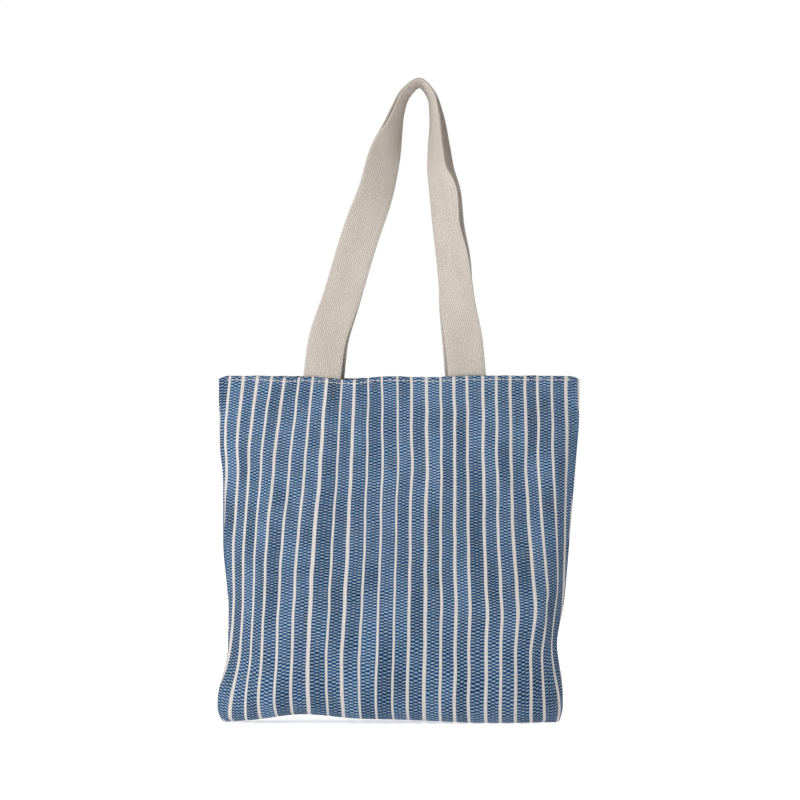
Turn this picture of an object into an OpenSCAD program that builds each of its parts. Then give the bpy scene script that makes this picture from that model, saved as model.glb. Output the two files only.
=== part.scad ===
// Canvas tote bag: two woven panels sewn together at the sides and the bottom, a
// facing sewn inside the mouth, and two webbing handles sewn in behind the facing.
// The bag is lightly filled, so its panels bulge, its sides draw in at a waist and
// it stands on a narrow flat base.
// Millimetres, +Z up. The base lies at z = 0, the mouth opens upwards and the front
// is on the -Y side. The origin is under the middle of the whole object.

/* [Bag] */
// Height of the bag from its base to its mouth
bag_h = 352; // [300:1:420]
// Width of the mouth, from edge to edge
mouth_w = 366; // [340:1:420]
// Width at the waist, where the sides draw in
waist_w = 335; // [300:1:340]
// Height of the waist above the base
waist_z = 80; // [50:1:120]
// Width across the bottom corners
foot_w = 351; // [340:1:380]
// Depth of the mouth at its middle, front to back
mouth_d = 34; // [28:1:50]
// Depth of the bag at its deepest, front to back
belly_d = 78; // [60:1:110]
// Height of the deepest part above the base
belly_z = 110; // [80:1:160]
// Depth of the flat base at its middle, front to back
base_d = 44; // [36:1:56]
// How far the mouth leans sideways over the base
lean = 10.5; // [0:0.5:20]

/* [Cloth and thread] */
// Thickness of the canvas
canvas_t = 1.4; // [0.8:0.1:1.8]
// Height of the facing inside the mouth
facing_h = 30; // [20:1:40]
// Width of the bound seams inside the bag
binding_w = 12; // [10:1:16]
// Distance of a line of stitches from the edge beside it
stitch_in = 4; // [3:0.5:5]
// Thickness of the sewing thread
thread_d = 0.6; // [0.4:0.1:0.8]

/* [Handles] */
// Width of the webbing
strap_w = 38; // [30:1:40]
// Thickness of the webbing
strap_t = 2.2; // [1.6:0.1:2.6]
// Rise of the front handle above the mouth
handle_rise = 299; // [240:1:340]
// How much higher the back handle rises
back_extra = 9; // [0:1:15]
// Distance between the middles of the two ends of a handle
handle_spread = 146; // [120:1:170]
// How far the middle of the handle ends stands left of the origin
handle_left = 3.7; // [0:0.1:8]
// How far the top of a handle stands right of the middle of its ends
crown_shift = 25.6; // [0:0.1:40]
// Length of webbing sewn down inside the mouth
end_h = 45; // [40:1:60]
// Side of the square of stitches on a handle end
box_side = 30; // [24:1:32]

/* [Hidden] */

canvas_color = [0.40, 0.48, 0.57];
webbing_color = [0.82, 0.78, 0.72];
binding_color = [0.30, 0.37, 0.46];
thread_color = [0.88, 0.86, 0.82];
navy_thread_color = [0.12, 0.17, 0.28];

clear = 0.2;                          // gap between two layers of cloth
seam_half = canvas_t + clear;         // half of the space that a bound seam fills
edge_gap = 0.5;                       // how far a panel's side edge stands off the seam
fullness = 2.4;                       // how squarely the panels bulge across the bag
top_shift = 1.1;                      // sideways place of the mouth's middle
cols = 30;                            // steps across a panel
low_rows = 9;                         // steps up a panel from the base to the belly
high_rows = 9;                        // steps up a panel from the belly to the mouth
seam_rows = 20;                       // steps up a side seam
arm_rings = 20;                       // steps along each arm of a handle
facing_u = 0.92;                      // how far the facings reach towards the sides
turn_start = 0.42;                    // share of the rise where the webbing starts to turn

// ---- Shape of the bag ----

// 0 to 1 in a soft S, for s from 0 to 1
function ease(s) = 0.5 - 0.5 * cos(180 * max(0, min(1, s)));

// Half of the width at height z
function half_w(z) =
    z < waist_z
        ? (waist_w + (foot_w - waist_w) * ease((waist_z - z) / waist_z)) / 2
        : (waist_w + (mouth_w - waist_w) * (z - waist_z) / (bag_h - waist_z)) / 2;

// Sideways place of the middle at height z
function mid_x(z) = top_shift - lean * pow(1 - z / bag_h, 2);

// Half of the bulge in the middle of the bag at height z, from the belly up
function half_d(z) =
    (mouth_d + (belly_d - mouth_d) * (1 - ease((z - belly_z) / (bag_h - belly_z)))) / 2;

// Share of the bulge at u, which runs from -1 at the left side to 1 at the right side
function bulge(u) = 1 - pow(abs(u), fullness);

// Distance of a panel's inner face from the bag's middle plane, from the belly up
function inner_r(u, z) = seam_half + edge_gap + half_d(z) * bulge(u);

// Distance from the middle plane at which the flat base ends and the panel bends up
function foot_r(u) = seam_half + 0.6 * edge_gap + base_d / 2 * bulge(u);

// Points up a panel at u, skin inside its outer face: flat base, round foot, then wall
function panel_column(u, skin) =
    let (foot = foot_r(u), belly = inner_r(u, belly_z) + canvas_t)
    concat(
        [for (i = [0:2]) [seam_half + (foot - seam_half) * i / 3, skin]],
        [for (i = [0:low_rows])
            let (a = 90 * i / low_rows)
            [foot + (belly - foot - skin) * sin(a), skin + (belly_z - skin) * (1 - cos(a))]
        ],
        [for (i = [1:high_rows])
            let (z = belly_z + (bag_h - belly_z) * i / high_rows)
            [inner_r(u, z) + canvas_t - skin, z]
        ]
    );

// Place in the bag's frame of a point at share u of the width, distance r in front
function place(u, r, z) = [mid_x(z) + u * half_w(z), -r, z];

// ---- Solids from points ----

// Closed solid between two grids of points, each a list of rows
module between(outer, inner) {
    m = len(outer);
    n = len(outer[0]);
    total = m * n;
    skin = [for (i = [0:m - 2], j = [0:n - 2])
        let (a = i * n + j, b = a + 1, c = a + n + 1, d = a + n)
        each [[a, b, c], [a, c, d]]
    ];
    rim = concat(
        [for (j = [0:n - 1]) j],
        [for (i = [1:m - 1]) i * n + n - 1],
        [for (j = [n - 2:-1:0]) (m - 1) * n + j],
        [for (i = [m - 2:-1:1]) i * n]
    );
    lining = [for (face = skin) [face[0] + total, face[2] + total, face[1] + total]];
    edge = [for (k = [0:len(rim) - 1])
        let (a = rim[k], b = rim[(k + 1) % len(rim)])
        each [[b, a, a + total], [b, a + total, b + total]]
    ];
    polyhedron(
        points = concat([for (row = outer) each row], [for (row = inner) each row]),
        faces = concat(skin, lining, edge),
        convexity = 10
    );
}

// Closed solid through a row of four-cornered rings
module sweep(rings) {
    last = 4 * (len(rings) - 1);
    sides = [for (i = [0:len(rings) - 2], k = [0:3])
        let (a = 4 * i + k, b = 4 * i + (k + 1) % 4)
        each [[a, b, b + 4], [a, b + 4, a + 4]]
    ];
    caps = [[0, 3, 2], [0, 2, 1], [last, last + 1, last + 2], [last, last + 2, last + 3]];
    polyhedron(points = [for (ring = rings) each ring], faces = concat(sides, caps), convexity = 10);
}

// Thread of square section through points that run mostly along X or mostly along Z
module thread(points, along_z = false) {
    half = thread_d / 2;
    ways = along_z
        ? [[1, 1, 0], [1, -1, 0], [-1, -1, 0], [-1, 1, 0]]
        : [[0, 1, 1], [0, -1, 1], [0, -1, -1], [0, 1, -1]];
    sweep([for (p = points) [for (way = ways) p + half * way]]);
}

module to_back() {
    mirror([0, 1, 0]) children();
}

// ---- Panels and facings ----

module panel() {
    steps = [for (j = [0:cols]) -1 + 2 * j / cols];
    grid = function (skin) [for (u = steps) [for (p = panel_column(u, skin)) place(u, p[0], p[1])]];
    between(grid(0), grid(canvas_t));
}

module hem_facing() {
    steps = [for (j = [0:cols]) facing_u * (-1 + 2 * j / cols)];
    heights = [for (i = [0:4]) bag_h - 0.5 - facing_h + facing_h * i / 4];
    grid = function (skin) [for (u = steps) [for (z = heights)
        place(u, inner_r(u, z) - clear - skin, z)
    ]];
    between(grid(0), grid(canvas_t));
}

// ---- Bound seams ----

// Strip in the bag's middle plane down one side; side is -1 or 1
module side_binding(side) {
    heights = [for (i = [0:seam_rows]) 2 + (bag_h - 3) * i / seam_rows];
    sweep([for (z = heights)
        let (edge = mid_x(z) + side * (half_w(z) - 0.5), inside = edge - side * binding_w)
        [
            [max(edge, inside), canvas_t, z], [max(edge, inside), -canvas_t, z],
            [min(edge, inside), -canvas_t, z], [min(edge, inside), canvas_t, z]
        ]
    ]);
}

module bottom_binding() {
    length = foot_w - 2 * binding_w - 10;
    translate([mid_x(0) - length / 2, -canvas_t, 0])
        cube([length, 2 * canvas_t, binding_w]);
}

// ---- Handles ----

mouth_x = [-handle_left - handle_spread / 2, -handle_left + handle_spread / 2];
crown_x = crown_shift - handle_left;
crown_r = strap_w / 2 + 1.5;          // the webbing lies across the bag at its top

// Share of the mouth's half width at x
function mouth_u(x) = (x - mid_x(bag_h)) / half_w(bag_h);

// Angle of the mouth's edge at x, seen from above
function mouth_turn(x) =
    let (step = 1)
    atan((inner_r(mouth_u(x + step), bag_h) - inner_r(mouth_u(x - step), bag_h)) / (2 * step));

// Distance of the middle of a handle end from the bag's middle plane
function end_r(x) = inner_r(mouth_u(x), bag_h) - 3 * clear - canvas_t - strap_t / 2;

// Point at s, from 0 to 1, on the curve led by four points
function bezier(p, s) =
    pow(1 - s, 3) * p[0] + 3 * s * pow(1 - s, 2) * p[1] + 3 * s * s * (1 - s) * p[2] + pow(s, 3) * p[3];

// Leading points of one arm of a handle, from the mouth up to its top: side is 0 or 1,
// way is -1 for the front handle and 1 for the back one, which is extra higher
function arm(side, way, extra) =
    let (
        foot = [mouth_x[side], way * end_r(mouth_x[side]), bag_h + 0.5],
        top = [crown_x, way * crown_r, bag_h + handle_rise + extra - strap_t / 2],
        lean_in = side == 0 ? [22, 0, 0.34 * handle_rise] : [-11.5, 0, 0.34 * handle_rise],
        reach = side == 0 ? [-17 - 0.7 * extra, 0, 0] : [20 + 0.7 * extra, 0, 0]
    )
    [foot, foot + lean_in, top + reach, top];

// How far the webbing has turned at height z: 0 faces the front, 90 lies across the bag
function strap_turn(z) = 90 * ease(((z - bag_h) / handle_rise - turn_start) / (1 - turn_start));

// Four corners of the webbing at p, where it runs along way. Its outer edge turns to the front
function strap_ring(p, way) =
    let (
        t = way / norm(way),
        level = cross([0, 1, 0], t) / norm(cross([0, 1, 0], t)),
        turn = strap_turn(p[2]),
        w = level * cos(turn) + [0, 1, 0] * sin(turn),
        n = cross(t, w)
    )
    [for (c = [[1, 1], [1, -1], [-1, -1], [-1, 1]]) p + w * c[0] * strap_w / 2 + n * c[1] * strap_t / 2];

module handle(way, extra) {
    left = [for (i = [0:arm_rings]) bezier(arm(0, way, extra), i / arm_rings)];
    right = [for (i = [arm_rings - 1:-1:0]) bezier(arm(1, way, extra), i / arm_rings)];
    path = concat(left, right);
    last = len(path) - 1;
    sweep([for (i = [0:last])
        strap_ring(path[i], i == 0 ? [0, 0, 1] : i == last ? [0, 0, -1] : path[i + 1] - path[i - 1])
    ]);
}

// Lies flat behind the facing where one end of a handle is sewn: side is 0 or 1
module at_end(side) {
    x = mouth_x[side];
    translate([x, -end_r(x), bag_h - 0.5])
        rotate([0, 0, -mouth_turn(x)])
            children();
}

module handle_end(side) {
    at_end(side)
        translate([-strap_w / 2, -strap_t / 2, -end_h])
            cube([strap_w, strap_t, end_h]);
}

// A square of stitches with a cross, on the inner face of a handle end
module box_stitches(side) {
    line = 2 * thread_d;
    at_end(side)
        translate([0, strap_t / 2 + thread_d + 0.05, -end_h / 2])
            rotate([90, 0, 0])
                linear_extrude(thread_d) {
                    difference() {
                        square(box_side, center = true);
                        square(box_side - 2 * line, center = true);
                    }
                    for (a = [45, -45])
                        rotate(a) square([1.36 * box_side, line], center = true);
                }
}

// ---- Lines of stitches ----

module hem_stitches() {
    z = bag_h - stitch_in;
    thread([for (j = [0:cols])
        let (u = 0.97 * (-1 + 2 * j / cols))
        place(u, inner_r(u, z) + canvas_t + clear + thread_d / 2, z)
    ]);
}

// The two runs of thread down a bound side seam
module side_stitches(side) {
    for (face = [-1, 1])
        thread([for (i = [0:seam_rows])
            let (z = 6 + (bag_h - 12) * i / seam_rows)
            [
                mid_x(z) + side * (half_w(z) - binding_w + stitch_in),
                face * (canvas_t + 0.05 + thread_d / 2),
                z
            ]
        ], along_z = true);
}

module bottom_stitches() {
    half = foot_w / 2 - binding_w - 8;
    for (face = [-1, 1])
        thread([for (end = [-half, half])
            [mid_x(0) + end, face * (canvas_t + 0.05 + thread_d / 2), binding_w - stitch_in]
        ]);
}

// ---- Nodes ----

module front_panel() { color(canvas_color) panel(); }
module back_panel() { color(canvas_color) to_back() panel(); }
module front_hem_facing() { color(canvas_color) hem_facing(); }
module back_hem_facing() { color(canvas_color) to_back() hem_facing(); }
module left_seam_binding() { color(binding_color) side_binding(-1); }
module right_seam_binding() { color(binding_color) side_binding(1); }
module bottom_seam_binding() { color(binding_color) bottom_binding(); }
module front_handle() { color(webbing_color) handle(-1, 0); }
module back_handle() { color(webbing_color) handle(1, back_extra); }
module front_handle_left_end() { color(webbing_color) handle_end(0); }
module front_handle_right_end() { color(webbing_color) handle_end(1); }
module back_handle_left_end() { color(webbing_color) to_back() handle_end(0); }
module back_handle_right_end() { color(webbing_color) to_back() handle_end(1); }
module front_handle_stitching() { color(thread_color) { box_stitches(0); box_stitches(1); } }
module back_handle_stitching() { color(thread_color) to_back() { box_stitches(0); box_stitches(1); } }
module front_hem_stitching() { color(thread_color) hem_stitches(); }
module back_hem_stitching() { color(thread_color) to_back() hem_stitches(); }
module left_seam_stitching() { color(navy_thread_color) side_stitches(-1); }
module right_seam_stitching() { color(navy_thread_color) side_stitches(1); }
module bottom_seam_stitching() { color(navy_thread_color) bottom_stitches(); }

front_panel();
back_panel();
front_hem_facing();
back_hem_facing();
left_seam_binding();
right_seam_binding();
bottom_seam_binding();
front_handle();
back_handle();
front_handle_left_end();
front_handle_right_end();
back_handle_left_end();
back_handle_right_end();
front_handle_stitching();
back_handle_stitching();
front_hem_stitching();
back_hem_stitching();
left_seam_stitching();
right_seam_stitching();
bottom_seam_stitching();
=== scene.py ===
"""A striped canvas tote bag with webbing handles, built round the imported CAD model.

Metres, +Z up, in the CAD's frame: the bag stands on z = 0 and its front is on the -Y side.
"""

import math
import random

import bmesh
import bpy
import numpy as np
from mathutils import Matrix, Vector


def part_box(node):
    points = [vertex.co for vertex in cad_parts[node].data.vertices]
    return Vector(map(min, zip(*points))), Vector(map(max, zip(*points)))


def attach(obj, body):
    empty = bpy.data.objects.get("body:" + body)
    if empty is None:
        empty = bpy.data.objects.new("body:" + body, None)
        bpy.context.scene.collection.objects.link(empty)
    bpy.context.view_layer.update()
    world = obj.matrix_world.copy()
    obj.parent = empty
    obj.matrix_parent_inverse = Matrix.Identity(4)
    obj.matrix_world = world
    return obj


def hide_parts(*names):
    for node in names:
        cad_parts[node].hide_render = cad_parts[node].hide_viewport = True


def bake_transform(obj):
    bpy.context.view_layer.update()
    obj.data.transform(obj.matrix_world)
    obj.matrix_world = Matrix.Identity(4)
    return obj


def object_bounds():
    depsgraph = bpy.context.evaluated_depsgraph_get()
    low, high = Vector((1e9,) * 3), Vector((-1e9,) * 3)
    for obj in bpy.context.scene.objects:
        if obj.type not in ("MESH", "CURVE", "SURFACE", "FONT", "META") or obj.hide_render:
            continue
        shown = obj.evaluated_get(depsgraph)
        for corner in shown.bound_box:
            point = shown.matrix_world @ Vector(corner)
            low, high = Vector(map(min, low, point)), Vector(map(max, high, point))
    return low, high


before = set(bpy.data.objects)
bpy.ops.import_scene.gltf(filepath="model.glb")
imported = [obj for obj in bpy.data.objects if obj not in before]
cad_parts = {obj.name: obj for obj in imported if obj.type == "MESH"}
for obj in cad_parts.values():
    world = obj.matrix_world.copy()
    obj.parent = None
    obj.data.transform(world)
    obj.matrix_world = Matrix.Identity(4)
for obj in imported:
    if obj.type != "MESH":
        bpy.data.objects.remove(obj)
CAD_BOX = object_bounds()

MM = 0.001

# ---- The bag's own sizes, from the CAD nodes where they hold them ----

BAG_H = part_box("front_panel")[1].z
FACING_LOW, FACING_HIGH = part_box("front_hem_facing")
FACING_H = FACING_HIGH.z - FACING_LOW.z
MOUTH_DEPTH = 17 * MM            # half of the mouth's opening at its middle
CLOTH = 1.3 * MM                 # thickness of the canvas
CUT_W = 369 * MM                 # each panel as cut, between its seams
CUT_H = 366 * MM                 # from the bottom seam to the fold at the mouth
FOLD_R = 1.45 * MM               # radius of the fold at the mouth
COLS, ROWS = 84, 84              # steps across and up each panel
TOP_ROWS = 24                    # rows of a panel that reach from the mouth to below its hem
PRESSURE = 3.4                   # of the filling on the cloth, as the simulation counts it
FILL_FRAMES = 27                 # steps of the cloth simulation

STRAP_W = 38 * MM                # width and thickness of the webbing
STRAP_T = 2.0 * MM
END_H = 45 * MM                  # webbing sewn down inside the mouth
SEWN_GAP = 0.15 * MM             # between the webbing's end and the hem it is sewn to

# For each kind of stitching: a stitch's length, the gap to the next one and the thread's radius.
HEM_STITCH = (3.4 * MM, 0.8 * MM, 0.38 * MM)
BOX_STITCH = (2.6 * MM, 0.5 * MM, 0.3 * MM)
SEAM_STITCH = (2.8 * MM, 0.7 * MM, 0.25 * MM)

# Both handles run through these places, from the left foot over the crown to the right foot. Each is
# given by x and the rise above the mouth in mm, the turn of the webbing's outer edge to the front in
# degrees, and how much further out than the front handle the back one runs there, in mm.
STATIONS = (
    (-77.0, 0, 0, -3),
    (-71.6, 37, 0, -2),
    (-59.2, 73, 0, 0),
    (-36.6, 146, 4, 1),
    (-23.3, 183, 20, 1),
    (-11.6, 229, 40, 1.5),
    (-4.8, 248, 63, 3.5),
    (0.2, 265, 75, 3.5),
    (8.0, 284, 80, 1.5),
    (21.8, 294.5, 84, 0),
    (32.4, 283, 82, 1.5),
    (36.3, 263, 78, 4.5),
    (37.4, 228, 68, 8),
    (39.4, 205, 59, 8),
    (44.0, 190, 46, 5),
    (48.7, 148, 44, 5),
    (54.0, 120, 33, 3),
    (60.5, 68, 22, -1),
    (66.0, 36, 8, -2.5),
    (69.5, 0, 0, -3),
)
CROWN_RISE = max(rise for _, rise, _, _ in STATIONS)
CROWN_X = 21.8                   # mm: where a handle's left side turns into its right side
BACK_RISE = 5.5 * MM             # the back handle's crown above the front one's
CROWN_Y = 20.5 * MM              # the handles lie side by side at the crown

random.seed(7)


def ease(s):
    """0 to 1 in a soft S, for s from 0 to 1."""
    s = min(1.0, max(0.0, s))
    return s * s * (3 - 2 * s)


# ---- Outline of the front view: where the sides and the bottom edge run ----


def near(value, middle, reach):
    """1 at the middle, falling off softly to both sides."""
    return math.exp(-(((value - middle) / reach) ** 2))


def corner_round(z):
    """How much the bottom corners are rounded off at height z."""
    radius = 9 * MM
    if z >= radius:
        return 0.0
    return radius - math.sqrt(radius ** 2 - (radius - z) ** 2)


def step(z, start, reach):
    """0 below start, then a soft rise to 1 over reach, both in mm."""
    return ease((z / MM - start) / reach)


def left_edge(z):
    """How far left of the origin the bag reaches at height z."""
    reach = 184 - 11 * step(z, 20, 56) + 5 * step(z, 118, 66) + 4 * step(z, 245, 45)
    return reach * MM - corner_round(z)


def right_edge(z):
    """How far right of the origin the bag reaches at height z."""
    climb = min(1, max(0, (z / MM - 126) / 180))
    reach = 167 - 6 * step(z, 30, 48) + 8 * step(z, 80, 48) + 14.5 * climb
    return reach * MM - corner_round(z)


def bottom_edge(x):
    """Height of the bottom edge at x: it lifts a little left of the middle."""
    return 8.5 * MM * near(x, -98 * MM, 46 * MM) + 3.5 * MM * near(x, -10 * MM, 60 * MM)


def mouth_dip(x, side):
    """How far the mouth's edge hangs below its highest places at x; its corners are rounded."""
    if side == -1:
        dips = ((1.8, -110, 20), (4.2, -52, 26), (1.6, 27, 30))
    else:
        dips = ((2.4, 30, 80), (1.5, -52, 24))
    corner = 3.5 * near(abs(x) / MM, 184, 5)
    sag = sum(depth * near(x / MM, middle, reach) for depth, middle, reach in dips)
    return (0.2 + corner + sag) * MM


# ---- The cloth: two panels sewn together and filled ----


def start_point(side, u, v):
    """A panel's point before it is filled, at u across, from -1 to 1, and v up, from 0 to 1."""
    low_depth = 4 * MM
    span_share = 0.9955          # the bulge takes up the rest of the cut width
    bulge = (1 - abs(u) ** 2.2) * min(1, 8 * v)
    depth = low_depth + (MOUTH_DEPTH - low_depth) * v ** 3
    return span_share * u * CUT_W / 2, side * depth * bulge, v * CUT_H


def sewn_panels():
    """The two panels as cut, sewn at the sides and the bottom. Returns the object and each panel's grid
    of vertex numbers, rows from the bottom up."""
    mesh = bmesh.new()
    grids = {}
    for side in (-1, 1):
        grid = np.zeros((ROWS + 1, COLS + 1), int)
        for i in range(ROWS + 1):
            for j in range(COLS + 1):
                if side == 1 and (i == 0 or j in (0, COLS)):
                    grid[i, j] = grids[-1][i, j]
                    continue
                mesh.verts.new(start_point(side, -1 + 2 * j / COLS, i / ROWS))
                grid[i, j] = len(mesh.verts) - 1
        grids[side] = grid
        mesh.verts.ensure_lookup_table()
        for i in range(ROWS):
            for j in range(COLS):
                ring = [grid[i, j], grid[i, j + 1], grid[i + 1, j + 1], grid[i + 1, j]]
                mesh.faces.new([mesh.verts[k] for k in (ring if side == -1 else ring[::-1])])
    data = bpy.data.meshes.new("cut_cloth")
    mesh.to_mesh(data)
    mesh.free()
    bag = bpy.data.objects.new("cut_cloth", data)
    bpy.context.scene.collection.objects.link(bag)
    return bag, grids


def fill_weight(u, v):
    """Share of the pressure at u across and v up: the contents sit low in the bag."""
    low = math.exp(-(((v - 0.30) / 0.26) ** 2))
    return (0.22 + 0.78 * low) * (1 - 0.10 * u)


def weigh(bag, grids):
    """Marks the vertices held at the mouth, and how much of the filling presses on each vertex."""
    mouth = bag.vertex_groups.new(name="mouth")
    mouth.add([int(k) for side in grids for k in grids[side][ROWS]], 1.0, "REPLACE")
    fill = bag.vertex_groups.new(name="fill")
    for grid in grids.values():
        for i in range(ROWS + 1):
            for j in range(COLS + 1):
                fill.add([int(grid[i, j])], fill_weight(-1 + 2 * j / COLS, i / ROWS), "REPLACE")


def run_cloth(bag):
    """Fills the bag by cloth simulation, held at its mouth."""
    cloth = bag.modifiers.new("cloth", "CLOTH")
    cloth.settings.quality = 6
    cloth.settings.mass = 0.3
    cloth.settings.tension_stiffness = 40
    cloth.settings.compression_stiffness = 40
    cloth.settings.shear_stiffness = 10
    cloth.settings.bending_stiffness = 2
    cloth.settings.bending_damping = 0.5
    cloth.settings.use_pressure = True
    cloth.settings.uniform_pressure_force = PRESSURE
    cloth.settings.vertex_group_pressure = "fill"
    cloth.settings.vertex_group_mass = "mouth"
    cloth.settings.effector_weights.gravity = 0
    cloth.collision_settings.use_collision = False
    cloth.collision_settings.use_self_collision = False
    cloth.point_cache.frame_start = 1
    cloth.point_cache.frame_end = FILL_FRAMES
    scene = bpy.context.scene
    scene.frame_start = 1
    scene.frame_end = FILL_FRAMES
    for number in range(1, FILL_FRAMES + 1):
        scene.frame_set(number)


def filled_bag():
    """Points of the front and back panels after the bag is filled, as two grids."""
    bag, grids = sewn_panels()
    weigh(bag, grids)
    run_cloth(bag)
    shown = bag.evaluated_get(bpy.context.evaluated_depsgraph_get())
    points = np.array([v.co[:] for v in shown.data.vertices])
    bpy.data.objects.remove(bag)
    return {side: points[grid] for side, grid in grids.items()}


def smooth(values, passes):
    """A row of numbers, evened out."""
    for _ in range(passes):
        padded = np.concatenate([values[:1], values, values[-1:]])
        values = (padded[:-2] + 2 * padded[1:-1] + padded[2:]) / 4
    return values


def settle(panels):
    """Sets the filled bag down: the cloth next to the bottom seam lies flat on the floor, and the rest
    comes down with it, less and less further up."""
    arch_reach = 150 * MM        # up to this height the seam's own arch is taken out
    base = 19 * MM               # lies on the floor to each side of the seam
    base_reach = 110 * MM        # this much of the cloth above it comes down with it
    soft_rows = 14               # lowest rows, whose bend is softened
    seam = panels[-1][0]
    order = np.argsort(seam[:, 0])
    for side, grid in panels.items():
        arch = np.interp(grid[..., 0], seam[order, 0], seam[order, 2])
        grid[..., 2] -= arch * np.clip(1 - grid[..., 2] / arch_reach, 0, 1) ** 2
        for j in range(1, COLS):
            column = grid[:, j]
            sizes = np.linalg.norm(np.diff(column[:, 1:], axis=0), axis=1)
            arc = np.concatenate([[0], np.cumsum(sizes)])
            flat = base * (1 - abs(-1 + 2 * j / COLS) ** 6)
            turn_y, turn_z = (np.interp(flat, arc, column[:, axis]) for axis in (1, 2))
            follow = np.clip(1 - (arc - flat) / base_reach, 0, 1) ** 2
            lying = arc < flat
            column[:, 1] = np.where(lying, side * arc, column[:, 1] + (side * flat - turn_y) * follow)
            column[:, 2] = np.where(lying, 0.0, column[:, 2] - turn_z * follow)
        for _ in range(4):
            below, above = grid[:soft_rows - 1], grid[2:soft_rows + 1]
            grid[1:soft_rows] = (below + 2 * grid[1:soft_rows] + above) / 4


def even_seams(panels):
    """Takes the sharpest kinks out of the side seams, more the nearer to the seam."""
    reach = 10                   # columns from the seam
    front, back = panels[-1], panels[1]
    for _ in range(40):
        for grid in (front, back):
            for k in range(1, reach):
                share = 0.5 * near(k, 0, reach / 2)
                for j in (k, COLS - k):
                    middle = (grid[:-2, j] + grid[2:, j]) / 2
                    grid[1:-1, j] += share * (middle - grid[1:-1, j])
        for j in (0, COLS):
            middle = (front[:-2, j] + front[2:, j]) / 2
            front[1:-1, j] += 0.5 * (middle - front[1:-1, j])
            back[:, j] = front[:, j]


def open_neck(panels):
    """Under the mouth the cloth hangs straight from the hem to the fuller part, with no neck."""
    start = int(0.70 * ROWS)     # row where the fuller part ends
    share = ((np.arange(start, ROWS + 1) - start) / (ROWS - start))[:, None]
    for side, grid in panels.items():
        straight = side * (grid[start, :, 1] * (1 - share) + grid[ROWS, :, 1] * share)
        grid[start:, :, 1] = side * np.maximum(side * grid[start:, :, 1], straight)


def even_base(panels):
    """Takes the pinches out of the lowest cloth, and spreads it evenly along the bottom seam."""
    rows = 20                    # from the bottom seam up
    for _ in range(50):
        for grid in panels.values():
            for i in range(rows):
                middle = (grid[i, :-2] + grid[i, 2:]) / 2
                grid[i, 1:-1] += 0.5 * (1 - i / rows) * (middle - grid[i, 1:-1])
    for grid in panels.values():
        for i in range(rows):
            even = np.linspace(grid[i, 0, 0], grid[i, COLS, 0], COLS + 1)
            grid[i, :, 0] += 0.8 * near(i, 0, rows / 2) * (even - grid[i, :, 0])


def edge_shifts(rows):
    """For each row: how far left it reaches and how much further the outline does, and the same to the
    right, each as a smoothed list."""
    ends = []
    for row in rows:
        west, east = row[row[:, 0].argmin()], row[row[:, 0].argmax()]
        ends.append((-west[0], left_edge(west[2]) + west[0], east[0], right_edge(east[2]) - east[0]))
    return (smooth(np.array(values), 3) for values in zip(*ends))


def fit_outline(panels):
    """Fits the filled bag to the height and the outline of the CAD model. The lower cloth leans to the
    left as a whole, and then only the ends of each row are drawn out to the outline."""
    lean_most = 8.5 * MM         # at the floor
    lean_top = 0.72 * BAG_H      # no lean from here up
    lift_top = 110 * MM          # the bottom edge's lifts fade out up to here
    droop_low = 250 * MM         # and the mouth's dips fade in from here
    both = np.concatenate([panels[-1], panels[1]], axis=1)
    low, high = both[..., 2].min(), both[..., 2].max()

    def height_of(z):
        return (BAG_H - FOLD_R) * (z - low) / (high - low)

    both[..., 2] = height_of(both[..., 2])
    west, west_shift, east, east_shift = edge_shifts(both)
    for side, grid in panels.items():
        for i in range(grid.shape[0]):
            for j in range(grid.shape[1]):
                x, y, z = grid[i, j]
                height = height_of(z)
                lean = lean_most * max(0, 1 - height / lean_top)
                if x < 0:
                    x -= lean + (west_shift[i] - lean) * (-x / west[i]) ** 3
                else:
                    x += (east_shift[i] + lean) * (x / east[i]) ** 3 - lean
                lift = bottom_edge(x) * (1 - ease(height / lift_top))
                droop = mouth_dip(x, side) * ease((height - droop_low) / (100 * MM))
                grid[i, j] = x, y, height + lift - droop


def part_corners(panels):
    """At the mouth's corners the two turned-in hems keep the panels apart."""
    apart = 2.05 * FOLD_R
    start = BAG_H - FACING_H - 9 * MM
    reach = 14 * MM
    for side, grid in panels.items():
        for i in range(grid.shape[0]):
            for j in range(grid.shape[1]):
                least = apart * ease((grid[i, j, 2] - start) / reach)
                grid[i, j, 1] = side * max(side * grid[i, j, 1], least)


# ---- Meshes from points ----


def mesh_object(name, points, faces, flat, material):
    """A smooth-shaded piece. flat gives each point's place on the flat cloth, in metres, which goes
    into the UV map that the materials read."""
    mesh = bpy.data.meshes.new(name)
    mesh.from_pydata(np.array(points).reshape(-1, 3).tolist(), [], faces)
    layer = mesh.uv_layers.new(name="cut")
    corners = np.array([loop.vertex_index for loop in mesh.loops])
    layer.data.foreach_set("uv", np.array(flat).reshape(-1, 2)[corners].ravel())
    mesh.polygons.foreach_set("use_smooth", [True] * len(mesh.polygons))
    mesh.materials.append(material)
    piece = bpy.data.objects.new(name, mesh)
    bpy.context.scene.collection.objects.link(piece)
    return piece


def grid_object(name, points, flat, thickness, material):
    """A piece of cloth through a grid of points, rounded and made thick inwards."""
    rows, cols = points.shape[:2]
    faces = [
        (i * cols + j, i * cols + j + 1, (i + 1) * cols + j + 1, (i + 1) * cols + j)
        for i in range(rows - 1)
        for j in range(cols - 1)
    ]
    piece = mesh_object(name, points, faces, flat, material)
    smoother = piece.modifiers.new("smooth", "SUBSURF")
    smoother.levels = 1
    smoother.render_levels = 1
    shell = piece.modifiers.new("thickness", "SOLIDIFY")
    shell.thickness = thickness
    shell.offset = -1.0
    return piece


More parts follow.
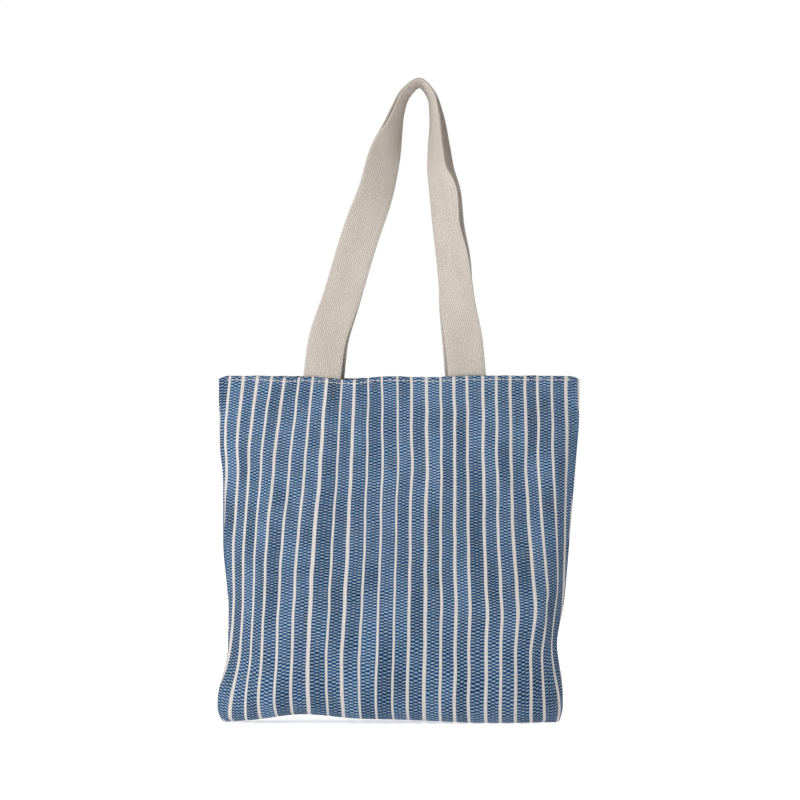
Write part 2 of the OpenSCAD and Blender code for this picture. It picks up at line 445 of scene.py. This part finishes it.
def tube_faces(count, around, first=0):
    """Faces of a closed skin over count rings of points. first is the number of its first point."""
    last = first + (count - 1) * around
    faces = [
        (ring + j, ring + (j + 1) % around, ring + around + (j + 1) % around, ring + around + j)
        for ring in range(first, last, around)
        for j in range(around)
    ]
    faces.append(tuple(first + j for j in reversed(range(around))))
    faces.append(tuple(last + j for j in range(around)))
    return faces


def tube_object(name, rings, flat, material):
    """A closed skin over a row of rings of points."""
    return mesh_object(name, rings, tube_faces(len(rings), len(rings[0])), flat, material)


def lowered(points, drop):
    """The row of a panel that is that far below its top."""
    row = np.empty_like(points[-1])
    for j in range(points.shape[1]):
        column = points[-TOP_ROWS:, j]
        z = column[-1, 2] - drop
        row[j] = [np.interp(z, column[:, 2], column[:, axis]) for axis in range(3)]
    return row


def panel_with_fold(points, side):
    """Rows of a panel, then of the fold over the mouth's edge, then of the cloth turned down inside,
    with the place of each point on the cut cloth."""
    bend_steps, down_steps = 5, 8
    uneven = 0.4                 # mm, of the fold's line
    if side == 1:
        points = points[:, ::-1]
    cols = points.shape[1]
    into = np.array([(0.0, -side, 0.0)] * cols)
    top = points[-1] + np.array([(0, 0, random.uniform(-uneven, uneven) * MM) for _ in range(cols)])
    rows = list(points)
    heights = list(np.linspace(0, CUT_H, len(points)))
    for k in range(1, bend_steps + 1):
        angle = math.pi * k / bend_steps
        lift = np.array([0.0, 0.0, math.sin(angle)])
        rows.append(top + FOLD_R * (1 - math.cos(angle)) * into + FOLD_R * lift)
        heights.append(CUT_H + FOLD_R * angle)
    for k in range(1, down_steps + 1):
        drop = FACING_H * k / down_steps
        rows.append(lowered(points, drop) + 2 * FOLD_R * into)
        heights.append(CUT_H + math.pi * FOLD_R + drop)
    across = np.linspace(0, CUT_W, cols)
    flat = np.stack(np.broadcast_arrays(across[None, :], np.array(heights)[:, None]), axis=2)
    return np.array(rows), flat


# ---- Materials ----


class Recipe:
    """One material's nodes. Each call adds a node and gives back its output."""

    def __init__(self, name, roughness=0.9, sheen=0.0):
        self.material = bpy.data.materials.new(name)
        self.material.use_nodes = True
        self.nodes = self.material.node_tree.nodes
        self.links = self.material.node_tree.links
        self.shader = self.nodes["Principled BSDF"]
        self.shader.inputs["Roughness"].default_value = roughness
        self.shader.inputs["Specular IOR Level"].default_value = 0.1
        self.shader.inputs["Sheen Weight"].default_value = sheen
        self.shader.inputs["Sheen Roughness"].default_value = 0.5

    def put(self, socket, value):
        """Links a node's output to a socket, or sets the socket to a plain value."""
        if isinstance(value, bpy.types.NodeSocket):
            self.links.new(value, socket)
        else:
            socket.default_value = value

    def math(self, operation, a, b=0.0, c=0.0):
        node = self.nodes.new("ShaderNodeMath")
        node.operation = operation
        for socket, value in zip(node.inputs, (a, b, c)):
            self.put(socket, value)
        return node.outputs[0]

    def add(self, a, b):
        return self.math("ADD", a, b)

    def sub(self, a, b):
        return self.math("SUBTRACT", a, b)

    def mul(self, a, b):
        return self.math("MULTIPLY", a, b)

    def soft(self, value, start, end):
        """0 up to start, 1 from end on, and a soft step between."""
        node = self.nodes.new("ShaderNodeMapRange")
        node.interpolation_type = "SMOOTHSTEP"
        self.put(node.inputs["Value"], value)
        self.put(node.inputs["From Min"], start)
        self.put(node.inputs["From Max"], end)
        return node.outputs["Result"]

    def spread(self, value, low, high):
        """value, from 0 to 1, spread from low to high."""
        return self.math("MULTIPLY_ADD", value, high - low, low)

    def vector(self, x, y=0.0, z=0.0):
        node = self.nodes.new("ShaderNodeCombineXYZ")
        for socket, value in zip(node.inputs, (x, y, z)):
            self.put(socket, value)
        return node.outputs[0]

    def chance(self, index, seed):
        """A number from 0 to 1, the same for each whole number."""
        node = self.nodes.new("ShaderNodeTexWhiteNoise")
        node.noise_dimensions = "2D"
        self.put(node.inputs["Vector"], self.vector(index, float(seed)))
        return node.outputs["Value"]

    def noise(self, vector, scale, detail=2.0, roughness=0.5):
        node = self.nodes.new("ShaderNodeTexNoise")
        self.put(node.inputs["Vector"], vector)
        self.put(node.inputs["Scale"], scale)
        self.put(node.inputs["Detail"], detail)
        self.put(node.inputs["Roughness"], roughness)
        return node.outputs["Fac"]

    def mix(self, share, a, b):
        node = self.nodes.new("ShaderNodeMix")
        node.data_type = "RGBA"
        self.put(node.inputs[0], share)
        self.put(node.inputs[6], a)
        self.put(node.inputs[7], b)
        return node.outputs[2]

    def cut(self):
        """Place on the flat cloth, across and along, in millimetres."""
        node = self.nodes.new("ShaderNodeUVMap")
        node.uv_map = "cut"
        parts = self.nodes.new("ShaderNodeSeparateXYZ")
        self.links.new(node.outputs[0], parts.inputs[0])
        return self.mul(parts.outputs[0], 1000.0), self.mul(parts.outputs[1], 1000.0)

    def finish(self, color, height, depth):
        """Sets the colour, and relief of that depth, in metres, where height is 1."""
        self.put(self.shader.inputs["Base Color"], color)
        bump = self.nodes.new("ShaderNodeBump")
        bump.inputs["Strength"].default_value = 1.0
        bump.inputs["Distance"].default_value = depth
        self.put(bump.inputs["Height"], height)
        self.links.new(bump.outputs[0], self.shader.inputs["Normal"])
        return self.material


def paint(red, green, blue):
    """A linear colour from one as a screen shows it, each part from 0 to 255."""
    return (*((part / 255) ** 2.2 for part in (red, green, blue)), 1.0)


# The canvas's pattern. Lengths in it are millimetres of the flat cloth, x across and y up.
STRIPE_PITCH = 14.35             # from stripe to stripe
FLOAT_PITCH = 3.05               # from float to float up the cloth
FLOAT_COLUMNS = 3                # columns of floats between two stripes
PLUMB_STRIPE = 167.0             # x of the stripe that hangs plumb


def stripe_place(r, x, y):
    """Place across the cloth, counted in stripes. They fan out downwards from the plumb one, waver, and
    are drawn round from behind by the left seam."""
    from_plumb = r.sub(x, PLUMB_STRIPE)
    right = r.soft(from_plumb, -10.0, 10.0)
    share_up = r.math("DIVIDE", y, CUT_H / MM)
    share_down = r.sub(1.0, share_up)
    rise = r.mul(share_down, r.add(1.0, r.mul(share_up, r.spread(right, 1.0, -1.0))))
    fan = r.add(r.mul(r.spread(right, 0.23, 0.15), rise), 1.0)
    fanned = r.add(r.math("DIVIDE", from_plumb, fan), PLUMB_STRIPE)
    belly = r.mul(r.mul(share_up, share_down), 4.0)
    drawn = r.mul(r.mul(belly, r.soft(x, 60.0, 5.0)), 11.0)
    slow = r.vector(r.mul(x, 0.016), r.mul(y, 0.020))
    waver = r.mul(r.sub(r.noise(slow, 1.0, 1.0), 0.5), 3.0)
    return r.math("DIVIDE", r.add(r.add(r.sub(fanned, drawn), waver), 3.0), STRIPE_PITCH)


def stripe_mask(r, x, y, band, share):
    """1 in the stripes and 0 between them, and the place from the one stripe to the next, 0 to 1. Each
    stripe has its own width and is a little off its even place."""
    centres, gaps = [], []
    for number, even_place in ((band, 0.0), (r.add(band, 1.0), 1.0)):
        centre = r.add(r.spread(r.chance(number, 1), -0.085, 0.085), even_place)
        half_width = r.spread(r.chance(number, 2), 1.05, 1.75)
        away = r.mul(r.math("ABSOLUTE", r.sub(share, centre)), STRIPE_PITCH)
        centres.append(centre)
        gaps.append(r.sub(away, half_width))
    ragged = r.mul(r.sub(r.noise(r.vector(x, y), 0.9, 2.0), 0.5), 0.5)
    stripe = r.soft(r.add(r.math("MINIMUM", *gaps), ragged), 0.3, -0.3)
    between = r.math("DIVIDE", r.sub(share, centres[0]), r.sub(centres[1], centres[0]))
    return stripe, between


def float_masks(r, x, y, band, between):
    """The dark floats and the pale ones between them, set like bricks, and each float's own number."""
    across = r.mul(r.sub(between, 0.11), FLOAT_COLUMNS / 0.78)
    column = r.math("FLOOR", across)
    fx = r.sub(r.math("FRACT", across), 0.5)
    brick = r.mul(r.math("FLOORED_MODULO", column, 2.0), 0.5)
    slow = r.vector(r.mul(x, 0.08), r.mul(y, 0.08))
    wobble = r.mul(r.sub(r.noise(slow, 1.0, 1.0), 0.5), 1.2)
    start = r.add(wobble, r.mul(r.chance(band, 3), 0.35))
    along = r.add(r.add(r.math("DIVIDE", y, FLOAT_PITCH), brick), start)
    fy = r.sub(r.math("FRACT", along), 0.5)
    cell = r.add(r.mul(r.math("FLOOR", along), 7.0), r.add(r.mul(column, 3.0), r.mul(band, 31.0)))
    size = r.spread(r.chance(cell, 4), 0.86, 1.12)

    def oval(dx, dy, half_x, half_y):
        sx = r.math("POWER", r.math("ABSOLUTE", r.math("DIVIDE", dx, half_x)), 2.0)
        sy = r.math("POWER", r.math("ABSOLUTE", r.math("DIVIDE", dy, half_y)), 2.0)
        return r.math("DIVIDE", r.math("SQRT", r.add(sx, sy)), size)

    dark = r.soft(oval(fx, fy, 0.50, 0.33), 1.25, 0.75)
    between_floats = r.sub(0.5, r.math("ABSOLUTE", fy))
    pale = r.soft(oval(fx, between_floats, 0.46, 0.22), 1.3, 0.6)
    return dark, pale, cell


def blue_yarns(r, x, y, band, masks):
    """The colours between the stripes. Bands differ, and each drifts along its length."""
    dark, pale, cell = masks
    drift = r.vector(r.mul(band, 3.7), r.mul(y, 0.012))
    tone = r.soft(r.noise(drift, 1.0, 2.0, 0.6), 0.30, 0.70)
    patch = r.soft(r.noise(r.vector(r.mul(x, 0.09), r.mul(y, 0.016), 5.0), 1.0, 2.0), 0.55, 0.72)
    mid = r.mix(tone, paint(48, 80, 110), paint(74, 108, 140))
    navy = r.mix(tone, paint(14, 32, 62), paint(26, 60, 98))
    navy = r.mix(r.mul(patch, 0.65), navy, paint(22, 28, 42))
    navy = r.mix(r.mul(r.chance(cell, 5), 0.35), navy, paint(34, 74, 118))
    light = r.mix(tone, paint(124, 138, 150), paint(150, 166, 180))
    light = r.mix(r.mul(patch, 0.5), light, paint(120, 128, 136))
    return r.mix(pale, r.mix(dark, mid, navy), light)


def cream_yarn(r, x, y, place):
    """The colour of the stripes, with the yarn's twist, and its fuzz."""
    twist = r.math("SINE", r.add(r.mul(y, 3.2), r.mul(x, 2.4)))
    fuzz = r.noise(r.vector(x, r.mul(y, 0.5)), 1.6, 3.0)
    warm = r.mix(r.chance(r.math("ROUND", place), 6), paint(184, 178, 174), paint(174, 166, 160))
    light = r.soft(r.add(fuzz, r.mul(twist, 0.10)), 0.3, 0.75)
    return r.mix(light, warm, paint(206, 203, 200)), fuzz


def woven_canvas():
    """Cream stripes, and between them brick-set navy floats over a pale blue ground."""
    r = Recipe("woven_canvas", roughness=0.92, sheen=0.04)
    x, y = r.cut()
    place = stripe_place(r, x, y)
    band = r.math("FLOOR", place)
    stripe, between = stripe_mask(r, x, y, band, r.math("FRACT", place))
    masks = float_masks(r, x, y, band, between)
    blue = blue_yarns(r, x, y, band, masks)
    cream, fuzz = cream_yarn(r, x, y, place)
    blue_height = r.add(r.mul(masks[0], 0.7), r.mul(masks[1], 0.35))
    height = r.mix(stripe, blue_height, r.add(0.85, r.mul(fuzz, 0.3)))
    return r.finish(r.mix(stripe, blue, cream), height, 0.35 * MM)


def cotton_webbing():
    """Natural cotton twill: fine ribs along the webbing, each crossed by slanting floats."""
    rib_pitch = 1.9              # mm
    r = Recipe("cotton_webbing", roughness=0.9, sheen=0.12)
    x, y = r.cut()
    rib = r.math("DIVIDE", x, rib_pitch)
    column = r.math("FLOOR", rib)
    fx = r.math("FRACT", rib)
    turn = r.sub(r.mul(r.math("FLOORED_MODULO", column, 2.0), 2.0), 1.0)
    slant = r.add(r.math("DIVIDE", y, rib_pitch), r.mul(r.mul(fx, turn), 0.5))
    wave = r.spread(r.math("SINE", r.mul(slant, 2 * math.pi)), 0.5, 1.0)
    groove = r.soft(r.math("ABSOLUTE", r.sub(fx, 0.5)), 0.5, 0.30)
    height = r.mul(r.add(r.mul(wave, 0.5), 0.5), groove)
    speck = r.soft(r.noise(r.vector(x, y), 0.45, 3.0, 0.7), 0.66, 0.76)
    cloud = r.noise(r.vector(r.mul(x, 0.05), r.mul(y, 0.02)), 1.0, 3.0)
    base = r.mix(r.soft(cloud, 0.3, 0.7), paint(187, 178, 169), paint(196, 188, 180))
    # painted shade: the colour darkens to a shadow brown where the twill's relief is low, in its
    # grooves and between its floats
    color = r.mix(height, paint(158, 149, 138), base)
    color = r.mix(r.mul(speck, 0.35), color, paint(150, 132, 112))
    return r.finish(color, height, 0.34 * MM)


def sewing_thread(name, dark, pale):
    """Two-ply thread: a fine twist along each stitch."""
    r = Recipe(name, roughness=0.7, sheen=0.1)
    x, y = r.cut()
    ply = r.spread(r.math("SINE", r.add(r.mul(y, 9.0), r.mul(x, 6.0))), 0.5, 1.0)
    # painted shade: the thread goes from its pale colour to the dark one where the ply relief is low,
    # in the hollows between the plies
    return r.finish(r.mix(ply, dark, pale), ply, 0.08 * MM)


def binding_tape():
    """Plain-woven cotton tape."""
    thread_pair = 0.9            # mm, over one thread and under the next
    r = Recipe("binding_tape", roughness=0.92, sheen=0.05)
    x, y = r.cut()
    over = r.math("SINE", r.mul(x, 2 * math.pi / thread_pair))
    under = r.math("SINE", r.mul(y, 2 * math.pi / thread_pair))
    weave = r.spread(r.mul(over, under), 0.5, 1.0)
    shade = r.noise(r.vector(r.mul(x, 0.1), r.mul(y, 0.03)), 1.0, 2.0)
    # painted shade: the tape darkens to its darkest navy where the weave's relief is low, between the
    # threads; the shade noise is a random tone of the navy
    color = r.mix(weave, paint(34, 46, 70), r.mix(shade, paint(52, 70, 100), paint(66, 86, 116)))
    return r.finish(color, weave, 0.15 * MM)


# ---- Camera, light and floor ----


def set_camera():
    """The front view, square to the bag."""
    low, high = CAD_BOX
    height = high[2] - low[2]
    distance = 2.6
    seen = 1.2305 * height       # height of the view at the bag
    sensor = 36
    data = bpy.data.cameras.new("camera")
    data.sensor_width = sensor
    data.lens = sensor * distance / seen
    camera = bpy.data.objects.new("camera", data)
    camera.location = (0.0016, -distance, 0.4955 * height)
    camera.rotation_euler = (math.radians(90), 0, 0)
    scene = bpy.context.scene
    scene.collection.objects.link(camera)
    scene.camera = camera
    scene.view_settings.view_transform = "Standard"


def set_world():
    """Soft light from all round, with a backdrop that the camera sees as white."""
    white = (1, 1, 1, 1)
    world = bpy.data.worlds.new("studio")
    world.use_nodes = True
    tree = world.node_tree
    shown = tree.nodes.new("ShaderNodeLightPath")
    backdrop = tree.nodes.new("ShaderNodeBackground")
    both = tree.nodes.new("ShaderNodeMixShader")
    ambient = tree.nodes["Background"]
    for node, strength in ((ambient, 0.5), (backdrop, 1.0)):
        node.inputs["Color"].default_value = white
        node.inputs["Strength"].default_value = strength
    tree.links.new(shown.outputs["Is Camera Ray"], both.inputs[0])
    tree.links.new(ambient.outputs[0], both.inputs[1])
    tree.links.new(backdrop.outputs[0], both.inputs[2])
    tree.links.new(both.outputs[0], tree.nodes["World Output"].inputs["Surface"])
    bpy.context.scene.world = world


def set_lamps():
    """A key lamp from the left, a weak fill from the right and a lamp from above, each given by its
    place, size and power."""
    lamps = {
        "key": ((-1.25, -1.35, 1.0), 1.0, 24.0),
        "fill": ((1.9, -1.8, 0.7), 1.8, 1.2),
        "top": ((-0.3, 0.9, 2.2), 1.4, 14.0),
    }
    for name, (place, size, power) in lamps.items():
        light = bpy.data.lights.new(name, "AREA")
        light.size = size
        light.energy = power
        lamp = bpy.data.objects.new(name, light)
        lamp.location = place
        aim = Vector((0, 0, 0.25)) - Vector(place)
        lamp.rotation_euler = aim.to_track_quat("-Z", "Y").to_euler()
        bpy.context.scene.collection.objects.link(lamp)


def lay_floor():
    """Pale paper that glows just enough to meet the white backdrop."""
    reach = 60.0
    looks = {
        "Base Color": (0.93, 0.93, 0.93, 1),
        "Roughness": 0.9,
        "Specular IOR Level": 0.0,
        "Emission Color": (1, 1, 1, 1),
        "Emission Strength": 0.545,
    }
    paper = bpy.data.materials.new("floor_paper")
    paper.use_nodes = True
    for name, value in looks.items():
        paper.node_tree.nodes["Principled BSDF"].inputs[name].default_value = value
    mesh = bpy.data.meshes.new("floor")
    corners = [(-reach, -reach, 0), (reach, -reach, 0), (reach, reach, 0), (-reach, reach, 0)]
    mesh.from_pydata(corners, [], [(0, 1, 2, 3)])
    mesh.materials.append(paper)
    floor = bpy.data.objects.new("floor", mesh)
    bpy.context.scene.collection.objects.link(floor)


# ---- The bag body ----


def make_body(panels, canvas):
    """Each panel with its hem turned in: one sheet of cloth."""
    for side, word in ((-1, "front"), (1, "back")):
        points, flat = panel_with_fold(panels[side], side)
        panel = grid_object(f"{word}_cloth_and_hem", points, flat, CLOTH, canvas)
        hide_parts(f"{word}_panel", f"{word}_hem_facing")
        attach(panel, "bag")


class Mouth:
    """Faces of the top part of the filled panels, found by x and height."""

    def __init__(self, panels):
        self.rows = {side: grid[-TOP_ROWS:] for side, grid in panels.items()}

    def outside(self, side, x, z):
        """y of one panel's outer face at x and at height z."""
        rows = self.rows[side]
        z = min(z, BAG_H - FOLD_R)
        heights = rows[:, :, 2]
        xs, ys = (
            [np.interp(z, heights[:, j], rows[:, j, axis]) for j in range(COLS + 1)]
            for axis in (0, 1)
        )
        return float(np.interp(x, xs, ys))

    def facing(self, side, x, z):
        """y of the hem facing's face, inside the bag."""
        return self.outside(side, x, z) - side * 2 * FOLD_R

    def webbing(self, side, x, z):
        """y of the middle of the webbing that is sewn to the hem facing."""
        return self.facing(side, x, min(z, BAG_H)) - side * (STRAP_T / 2 + SEWN_GAP)


# ---- Webbing handles ----


def spline(points, count):
    """A smooth curve through the points: count places along it, evenly spaced."""
    points = np.array(points, float)
    gaps = np.linalg.norm(np.diff(points[:, :2], axis=0), axis=1)
    knots = np.concatenate([[0], np.cumsum(gaps)])
    slopes = np.gradient(points, knots, axis=0)
    fine = np.linspace(0, knots[-1], count)
    which = np.clip(np.searchsorted(knots, fine, side="right") - 1, 0, len(gaps) - 1)
    span = gaps[which][:, None]
    s = ((fine - knots[which]) / gaps[which])[:, None]
    p0, p1 = points[which], points[which + 1]
    m0, m1 = slopes[which] * span, slopes[which + 1] * span
    curve = (2 * s ** 3 - 3 * s ** 2 + 1) * p0 + (s ** 3 - 2 * s ** 2 + s) * m0
    return curve + (3 * s ** 2 - 2 * s ** 3) * p1 + (s ** 3 - s ** 2) * m1


def webbing_outline():
    """The webbing's cross-section with rounded sides, in shares of its half width and thickness."""
    across = [-0.95, -0.75, -0.5, -0.25, 0, 0.25, 0.5, 0.75, 0.95]
    front = [(a, -1.0) for a in across]
    back = [(a, 1.0) for a in reversed(across)]
    right = [(0.99, -0.6), (1.0, 0.0), (0.99, 0.6)]
    left = [(-0.99, 0.6), (-1.0, 0.0), (-0.99, -0.6)]
    return front + right + back + left


def station_x(x, out, side):
    """x, in mm, where a handle passes a station: the back one passes further out."""
    if side == -1:
        return x
    return x + out * (1 if x > CROWN_X else -1)


def handle_line(side):
    """The middle line of one handle and the turn of its webbing all along, sewn ends included."""
    stops = []
    for x, rise, turn, out in STATIONS:
        lift = BACK_RISE * (rise / CROWN_RISE) ** 3 if side == 1 else 0
        stops.append((station_x(x, out, side) * MM, BAG_H + rise * MM + lift, math.radians(turn)))
    loop = spline(stops, 1000)
    spacing = np.linalg.norm(loop[1, :2] - loop[0, :2])
    down = np.arange(END_H, 0, -spacing)
    left = [(stops[0][0], BAG_H - d, 0.0) for d in down]
    right = [(stops[-1][0], BAG_H - d, 0.0) for d in reversed(down)]
    line = np.concatenate([left, loop, right])
    for _ in range(12):
        line[1:-1] = (line[:-2] + 2 * line[1:-1] + line[2:]) / 4
    return line


def handle_rings(side, mouth):
    """Rings of points round the webbing, their places on the flat webbing, and the webbing's length."""
    hang_reach = 190 * MM        # above the mouth the handles run from the hems to CROWN_Y over this
    hem_reach = 26 * MM          # over this height the webbing lets go of the hem's curve
    most_cup = 2.4 * MM          # of the webbing where it's turned by 90 degrees
    selvage_wave, selvage_pitch = 0.16 * MM, 2.4 * MM
    line = handle_line(side)
    x, z, turn = line.T
    tangent_x, tangent_z = np.gradient(x), np.gradient(z)
    length = np.hypot(tangent_x, tangent_z)
    along = np.cumsum(length) - length[0]
    tangent_x, tangent_z = tangent_x / length, tangent_z / length
    outline = webbing_outline()
    rings, flat = [], []
    for k in range(len(line)):
        free = ease((z[k] - BAG_H) / hang_reach)
        hem = 1 - ease((z[k] - BAG_H + 2 * MM) / hem_reach)
        foot = mouth.webbing(side, x[k], z[k])
        level = foot + (side * CROWN_Y - foot) * free
        flat_on = math.cos(turn[k])
        across = np.array([tangent_z[k] * flat_on, math.sin(turn[k]), -tangent_x[k] * flat_on])
        tangent = np.array([tangent_x[k], 0, tangent_z[k]])
        normal = np.cross(tangent, across)
        cup = most_cup * math.sin(turn[k]) ** 2
        selvage = selvage_wave * math.sin(2 * math.pi * along[k] / selvage_pitch)
        ring = []
        for a, n in outline:
            wide = a * (STRAP_W / 2 + selvage)
            thick = n * STRAP_T / 2 - cup * (1 - a * a)
            point = np.array([x[k], level, z[k]]) + wide * across + thick * normal
            if hem > 0:
                point[1] += hem * (mouth.webbing(side, point[0], z[k]) - foot)
            ring.append(point)
        rings.append(ring)
        flat.append([(STRAP_W * (a + 1) / 2, along[k]) for a, n in outline])
    return rings, flat, along[-1]


def make_handles(mouth, webbing):
    """Each handle is one length of webbing, with both of its sewn ends."""
    for side, word in ((-1, "front"), (1, "back")):
        rings, flat, length = handle_rings(side, mouth)
        strap = tube_object(f"{word}_handle_webbing", rings, flat, webbing)
        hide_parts(f"{word}_handle", f"{word}_handle_left_end", f"{word}_handle_right_end")
        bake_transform(strap)


# ---- Bound seams inside ----


def tape_outline():
    """The folded tape's cross-section, as a thin skin round its fold: distance from the seam in mm,
    share of the room on each side of the seam's plane, and place across the flat tape in mm."""
    outer = [(4.0, 1.0), (6.5, 1.0), (9, 1.0), (11.5, 0.95), (12.5, 0.6), (12.8, 0.0)]
    outer += [(d, -h) for d, h in reversed(outer[:-1])]
    inner = [(d - (0.4 if d > 10 else 0), h * 0.65) for d, h in reversed(outer)]
    places = [0, 2.5, 5, 7.5, 8.7, 9.5, 10.3, 11.5, 14, 16.5, 19]
    return [(d, h, p) for (d, h), p in zip(outer + inner, places + places[::-1])]


def make_tape(name, node, seam, inward, square, room, material):
    """Tape folded over the edges along one seam. inward points from the seam to the tape's fold."""
    outline = tape_outline()
    sizes = np.linalg.norm(np.diff(seam, axis=0), axis=1)
    along = np.concatenate([[0], np.cumsum(sizes)])
    rings = [
        [p + d * MM * i + h * t * q for d, h, _ in outline]
        for p, i, q, t in zip(seam, inward, square, room)
    ]
    flat = [[(place * MM, a) for _, _, place in outline] for a in along]
    tape = tube_object(name, rings, flat, material)
    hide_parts(node)
    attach(tape, "bag")


def unit(vectors):
    """The same directions, each of length 1."""
    return vectors / np.linalg.norm(vectors, axis=-1, keepdims=True)


def seam_frame(seam, inner, up=0.0):
    """A seam's points, the ways from it into the bag and square to both, and half the room for its
    tape. inner holds the same rows of both panels, two and three steps in from the seam. up turns the
    tape upwards."""
    least, most = 0.3 * MM, 1.3 * MM
    (front_2, back_2), (front_3, back_3) = inner
    into = unit((front_3 + back_3) / 2 - seam + np.array([0.0, 0.0, up]))
    for _ in range(3):
        into[1:-1] = unit(into[:-2] + 2 * into[1:-1] + into[2:])
    square = unit(np.cross(into, unit(np.gradient(seam, axis=0))))
    apart_2 = np.linalg.norm(front_2 - back_2, axis=1)
    apart_3 = np.linalg.norm(front_3 - back_3, axis=1)
    apart = np.minimum(apart_2, apart_3 / 1.4)
    room = np.clip(smooth(apart / 2 - 1.2 * CLOTH, 4), least, most)
    return seam, into, square, room


def side_seam(panels, edge):
    """The frame of one side seam, below the hem. edge is the panels' column there."""
    way = 1 if edge == 0 else -1
    front, back = panels[-1], panels[1]
    rows = [i for i in range(5, ROWS) if front[i, edge, 2] < BAG_H - FACING_H]
    inner = [(front[rows, edge + k * way], back[rows, edge + k * way]) for k in (2, 3)]
    return seam_frame(front[rows, edge], inner)


def bottom_seam(panels):
    """The frame of the bottom seam, where the tape stands up."""
    low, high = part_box("bottom_seam_binding")
    front, back = panels[-1], panels[1]
    kept = (front[0, :, 0] > low.x) & (front[0, :, 0] < high.x)
    inner = [(front[k, kept], back[k, kept]) for k in (2, 3)]
    return seam_frame(front[0, kept], inner, up=20 * MM)


# ---- Stitches ----

STITCH_AROUND = 6                # points round a thread
STITCH_STEPS = 5                 # steps along one stitch


def stitch_rings(middle, off, radius):
    """Points round one stitch, which arches up between its two holes and sways a little."""
    run = unit(np.gradient(middle, axis=0))
    beside = unit(np.cross(run, off))
    sway = random.uniform(-0.12, 0.12) * MM
    points = []
    for t in range(STITCH_STEPS + 1):
        arch = math.sin(math.pi * t / STITCH_STEPS)
        centre = middle[t] + off[t] * radius * (1.5 * arch - 0.9) + beside[t] * sway * arch
        for q in range(STITCH_AROUND):
            angle = 2 * math.pi * q / STITCH_AROUND
            points.append(centre + radius * (math.cos(angle) * beside[t] + math.sin(angle) * off[t]))
    return points


def stitch_object(name, node, rows, stitch, material):
    """Rows of sewn stitches as one piece. Each row is a list of points and of the ways off the cloth
    there, and stitch is one of the sizes above."""
    length, gap, radius = stitch
    points, faces, flat = [], [], []
    for path, off in rows:
        path, off = np.array(path), np.array(off)
        sizes = np.linalg.norm(np.diff(path, axis=0), axis=1)
        along = np.concatenate([[0], np.cumsum(sizes)])
        count = max(1, int((along[-1] + gap) / (length + gap)))
        pitch = (along[-1] + gap) / count
        for k in range(count):
            start = k * pitch
            places = np.linspace(start, start + pitch - gap, STITCH_STEPS + 1)
            middle, ways = (
                np.stack([np.interp(places, along, values[:, axis]) for axis in range(3)], axis=1)
                for values in (path, off)
            )
            faces += tube_faces(STITCH_STEPS + 1, STITCH_AROUND, first=len(points))
            points += stitch_rings(middle, unit(ways), radius)
            turns = [radius * 2 * math.pi * q / STITCH_AROUND for q in range(STITCH_AROUND)]
            flat += [(turn, place) for place in places for turn in turns]
    piece = mesh_object(name, points, faces, flat, material)
    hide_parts(node)
    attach(piece, "bag")


def hem_row(panels, side):
    """A row of stitches just under the mouth's edge, on the outside."""
    inset = 4 * MM
    points = []
    for j in range(2, COLS - 1):
        column = panels[side][-8:, j]
        z = column[-1, 2] + FOLD_R - inset
        point = [np.interp(z, column[:, 2], column[:, axis]) for axis in range(3)]
        point[2] += 0.5 * MM * math.sin(j * 0.9) * math.sin(j * 0.23)
        points.append(point)
    return points, [(0, side, 0)] * len(points)


def line_between(a, b, count):
    """count places on the straight line from a to b, in x and z."""
    return [
        [start + (end - start) * t / (count - 1) for start, end in zip(a, b)]
        for t in range(count)
    ]


def box_rows(mouth, side, middle):
    """A square with both diagonals, sewn on the inner face of a handle's end."""
    half_width = 15 * MM
    low, high = BAG_H - 38 * MM, BAG_H - 8 * MM
    left, right = middle - half_width, middle + half_width
    corners = [(left, low), (right, low), (right, high), (left, high)]
    lines = [(corners[k], corners[(k + 1) % 4]) for k in range(4)]
    lines += [(corners[0], corners[2]), (corners[1], corners[3])]
    rows = []
    for a, b in lines:
        points = [
            (x, mouth.facing(side, x, z) - side * (STRAP_T + SEWN_GAP), z)
            for x, z in line_between(a, b, 12)
        ]
        rows.append((points, [(0, -side, 0)] * len(points)))
    return rows


def make_stitches(panels, mouth, thread):
    """The row of stitches along each hem, and the boxes that hold the handles' ends."""
    for side, word in ((-1, "front"), (1, "back")):
        hem = [hem_row(panels, side)]
        name = f"{word}_hem"
        stitch_object(f"{name}_thread", f"{name}_stitching", hem, HEM_STITCH, thread)
        boxes = []
        for x, _, _, out in (STATIONS[0], STATIONS[-1]):
            boxes += box_rows(mouth, side, station_x(x, out, side) * MM)
        name = f"{word}_handle"
        stitch_object(f"{name}_thread", f"{name}_stitching", boxes, BOX_STITCH, thread)


def tape_rows(seam, into, square, room):
    """A row of stitches on both faces of a folded tape."""
    inset = 7 * MM
    return [(seam + into * inset + square * room[:, None] * way, square * way) for way in (-1, 1)]


# ---- The scene ----

set_camera()
set_world()
set_lamps()
lay_floor()
CANVAS = woven_canvas()
WEBBING = cotton_webbing()
TAPE = binding_tape()
NATURAL = sewing_thread("natural_thread", paint(196, 190, 180), paint(228, 224, 216))
NAVY = sewing_thread("navy_thread", paint(24, 34, 58), paint(44, 58, 88))

PANELS = filled_bag()
open_neck(PANELS)
even_seams(PANELS)
even_base(PANELS)
settle(PANELS)
fit_outline(PANELS)
part_corners(PANELS)
MOUTH = Mouth(PANELS)
make_body(PANELS, CANVAS)
make_handles(MOUTH, WEBBING)
SEAMS = {
    "left_seam": side_seam(PANELS, 0),
    "right_seam": side_seam(PANELS, COLS),
    "bottom_seam": bottom_seam(PANELS),
}
for name, seam in SEAMS.items():
    make_tape(f"{name}_tape", f"{name}_binding", *seam, TAPE)
    rows = tape_rows(*seam)
    stitch_object(f"{name}_thread", f"{name}_stitching", rows, SEAM_STITCH, NAVY)
make_stitches(PANELS, MOUTH, NATURAL)
